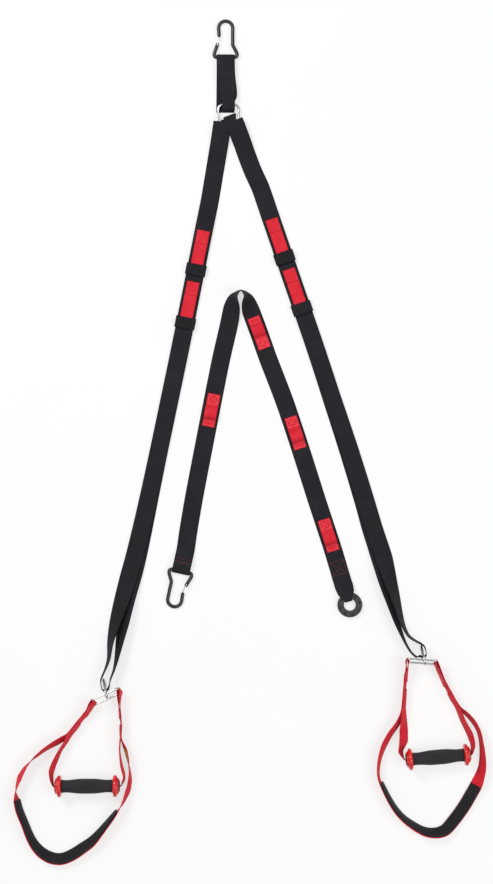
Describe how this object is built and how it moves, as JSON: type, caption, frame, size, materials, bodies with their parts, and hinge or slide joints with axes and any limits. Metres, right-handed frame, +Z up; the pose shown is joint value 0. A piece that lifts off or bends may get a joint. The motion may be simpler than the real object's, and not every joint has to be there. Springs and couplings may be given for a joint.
{
  "type": "suspension trainer set",
  "caption": "Suspension trainer with wire hook, junction ring, two webbing legs, foot and hand handles, and a separate extension strap with loops and an anchor disc.",
  "frame": {"origin": "centre of the bounding box at floor level, with the set laid flat on the floor", "axes": "+Y from the handles to the top hook, along the longest extent; +Z up from the floor, the shortest extent; +X to the right seen from above"},
  "size_m": [1.0355, 1.8568, 0.048],
  "materials": {
    "black_webbing": "woven polyester webbing, fine cross ribs, low sheen",
    "red_webbing": "woven polyester webbing with pale stitching",
    "pad_fabric": "padded black fabric sleeve",
    "label": "woven satin label, blank",
    "grip_foam": "matt closed-cell foam",
    "grip_core": "moulded tube",
    "red_flange": "moulded, glossy",
    "disc_black": "moulded, satin",
    "keeper_elastic": "knitted elastic",
    "ring_chrome": "polished",
    "snap_chrome": "polished",
    "hook_black": "black powder coat on steel",
    "gate_steel": "bright spring wire"
  },
  "bodies": {
    "head_strap": {"head_strap": "black_webbing"},
    "top_hook": {"top_hook_body": "hook_black"},
    "top_gate": {"top_hook_gate": "gate_steel"},
    "junction_ring": {"junction_ring": "ring_chrome"},
    "left_leg": {"left_leg_webbing": "black_webbing", "left_leg_loop_upper": "red_webbing", "left_leg_loop_lower": "red_webbing"},
    "left_keeper_upper": {"left_keeper_upper": "keeper_elastic"},
    "left_keeper_lower": {"left_keeper_lower": "keeper_elastic"},
    "left_snap_hook": {"left_snap_hook_body": "snap_chrome", "left_snap_hook_rivet": "snap_chrome"},
    "left_snap_gate": {"left_snap_hook_gate": "snap_chrome"},
    "left_handle": {"left_handle_ring": "ring_chrome", "left_foot_strap": "red_webbing", "left_foot_pad": "pad_fabric", "left_grip_strap": "red_webbing", "left_handle_label": "label"},
    "left_grip": {"left_grip_core": "grip_core", "left_grip_foam": "grip_foam", "left_grip_flange_outer": "red_flange", "left_grip_flange_inner": "red_flange"},
    "right_leg": {"right_leg_webbing": "black_webbing", "right_leg_loop_upper": "red_webbing", "right_leg_loop_lower": "red_webbing"},
    "right_keeper_upper": {"right_keeper_upper": "keeper_elastic"},
    "right_keeper_lower": {"right_keeper_lower": "keeper_elastic"},
    "right_snap_hook": {"right_snap_hook_body": "snap_chrome", "right_snap_hook_rivet": "snap_chrome"},
    "right_snap_gate": {"right_snap_hook_gate": "snap_chrome"},
    "right_handle": {"right_handle_ring": "ring_chrome", "right_foot_strap": "red_webbing", "right_foot_pad": "pad_fabric", "right_grip_strap": "red_webbing"},
    "right_grip": {"right_grip_core": "grip_core", "right_grip_foam": "grip_foam", "right_grip_flange_outer": "red_flange", "right_grip_flange_inner": "red_flange"},
    "extension_strap": {"extension_webbing": "black_webbing", "extension_loop_left": "red_webbing", "extension_loop_upper": "red_webbing", "extension_loop_middle": "red_webbing", "extension_loop_lower": "red_webbing"},
    "extension_hook": {"extension_hook_body": "hook_black"},
    "extension_gate": {"extension_hook_gate": "gate_steel"},
    "anchor_disc": {"anchor_disc": "disc_black"}
  },
  "joints": [
    {"name": "top_hook_swing", "type": "hinge", "parent": "head_strap", "child": "top_hook", "pos_m": [-0.0524, 0.843, 0.0063], "axis": [1, 0, 0], "range_deg": [0, 110]},
    {"name": "top_gate_open", "type": "hinge", "parent": "top_hook", "child": "top_gate", "pos_m": [-0.0704, 0.86849, 0.00556], "axis": [0, -0.0288, -0.9996], "range_deg": [0, 20], "stiffness_Nm_per_rad": 0.02, "springref_deg": -5.73},
    {"name": "junction_lift", "type": "hinge", "parent": "head_strap", "child": "junction_ring", "pos_m": [-0.046, 0.739, 0.0071], "axis": [-1, 0, 0], "range_deg": [0, 70]},
    {"name": "left_leg_spread", "type": "hinge", "parent": "junction_ring", "child": "left_leg", "pos_m": [-0.046, 0.697, 0.0071], "axis": [0, 0, -1], "range_deg": [0, 5]},
    {"name": "left_keeper_upper_slide", "type": "slide", "parent": "left_leg", "child": "left_keeper_upper", "axis": [0.1961, 0.9806, 0], "range_m": [-0.015, 0.015]},
    {"name": "left_keeper_lower_slide", "type": "slide", "parent": "left_leg", "child": "left_keeper_lower", "axis": [0.1961, 0.9806, 0], "range_m": [-0.015, 0.015]},
    {"name": "left_snap_hook_swing", "type": "hinge", "parent": "left_leg", "child": "left_snap_hook", "pos_m": [-0.31508, -0.54482, 0.02653], "axis": [0, 0, 1], "range_deg": [-4, 4]},
    {"name": "left_snap_gate_open", "type": "hinge", "parent": "left_snap_hook", "child": "left_snap_gate", "pos_m": [-0.31602, -0.54047, 0.00809], "axis": [-0.9774, -0.2113, 0], "range_deg": [0, 18], "stiffness_Nm_per_rad": 0.02, "springref_deg": -5.73},
    {"name": "left_handle_lift", "type": "hinge", "parent": "left_snap_hook", "child": "left_handle", "pos_m": [-0.31584, -0.5529, 0.0337], "axis": [-0.9135, -0.4067, 0], "range_deg": [0, 75]},
    {"name": "left_grip_spin", "type": "hinge", "parent": "left_handle", "child": "left_grip", "pos_m": [-0.3554, -0.7554, 0.024], "axis": [1, 0.007, 0], "continuous": true},
    {"name": "right_leg_spread", "type": "hinge", "parent": "junction_ring", "child": "right_leg", "pos_m": [-0.046, 0.697, 0.0071], "axis": [0, 0, 1], "range_deg": [0, 5]},
    {"name": "right_keeper_upper_slide", "type": "slide", "parent": "right_leg", "child": "right_keeper_upper", "axis": [-0.3246, 0.9458, 0], "range_m": [-0.015, 0.015]},
    {"name": "right_keeper_lower_slide", "type": "slide", "parent": "right_leg", "child": "right_keeper_lower", "axis": [-0.3246, 0.9458, 0], "range_m": [-0.015, 0.015]},
    {"name": "right_snap_hook_swing", "type": "hinge", "parent": "right_leg", "child": "right_snap_hook", "pos_m": [0.38027, -0.47132, 0.02737], "axis": [0, 0, 1], "range_deg": [-4, 4]},
    {"name": "right_snap_gate_open", "type": "hinge", "parent": "right_snap_hook", "child": "right_snap_gate", "pos_m": [0.37975, -0.46845, 0.00862], "axis": [-0.9836, -0.1805, 0], "range_deg": [0, 18], "stiffness_Nm_per_rad": 0.02, "springref_deg": -5.73},
    {"name": "right_handle_lift", "type": "hinge", "parent": "right_snap_hook", "child": "right_handle", "pos_m": [0.37728, -0.47754, 0.0351], "axis": [-0.9976, 0.0698, 0], "range_deg": [0, 75]},
    {"name": "right_grip_spin", "type": "hinge", "parent": "right_handle", "child": "right_grip", "pos_m": [0.4129, -0.6917, 0.024], "axis": [0.9965, 0.0837, 0], "continuous": true},
    {"name": "extension_strap_lift", "type": "slide", "parent": "head_strap", "child": "extension_strap", "axis": [0, 0, 1], "range_m": [0, 0.1]},
    {"name": "extension_hook_swing", "type": "hinge", "parent": "extension_strap", "child": "extension_hook", "pos_m": [-0.1507, -0.286, 0.0063], "axis": [-0.977, 0.213, 0], "range_deg": [0, 110]},
    {"name": "extension_gate_open", "type": "hinge", "parent": "extension_hook", "child": "extension_gate", "pos_m": [-0.13854, -0.31474, 0.00556], "axis": [0.0061, 0.0282, -0.9996], "range_deg": [0, 20], "stiffness_Nm_per_rad": 0.02, "springref_deg": -5.73},
    {"name": "disc_spin", "type": "hinge", "parent": "extension_strap", "child": "anchor_disc", "pos_m": [0.2204, -0.3599, 0.0063], "axis": [0, 0, 1], "continuous": true}
  ]
}
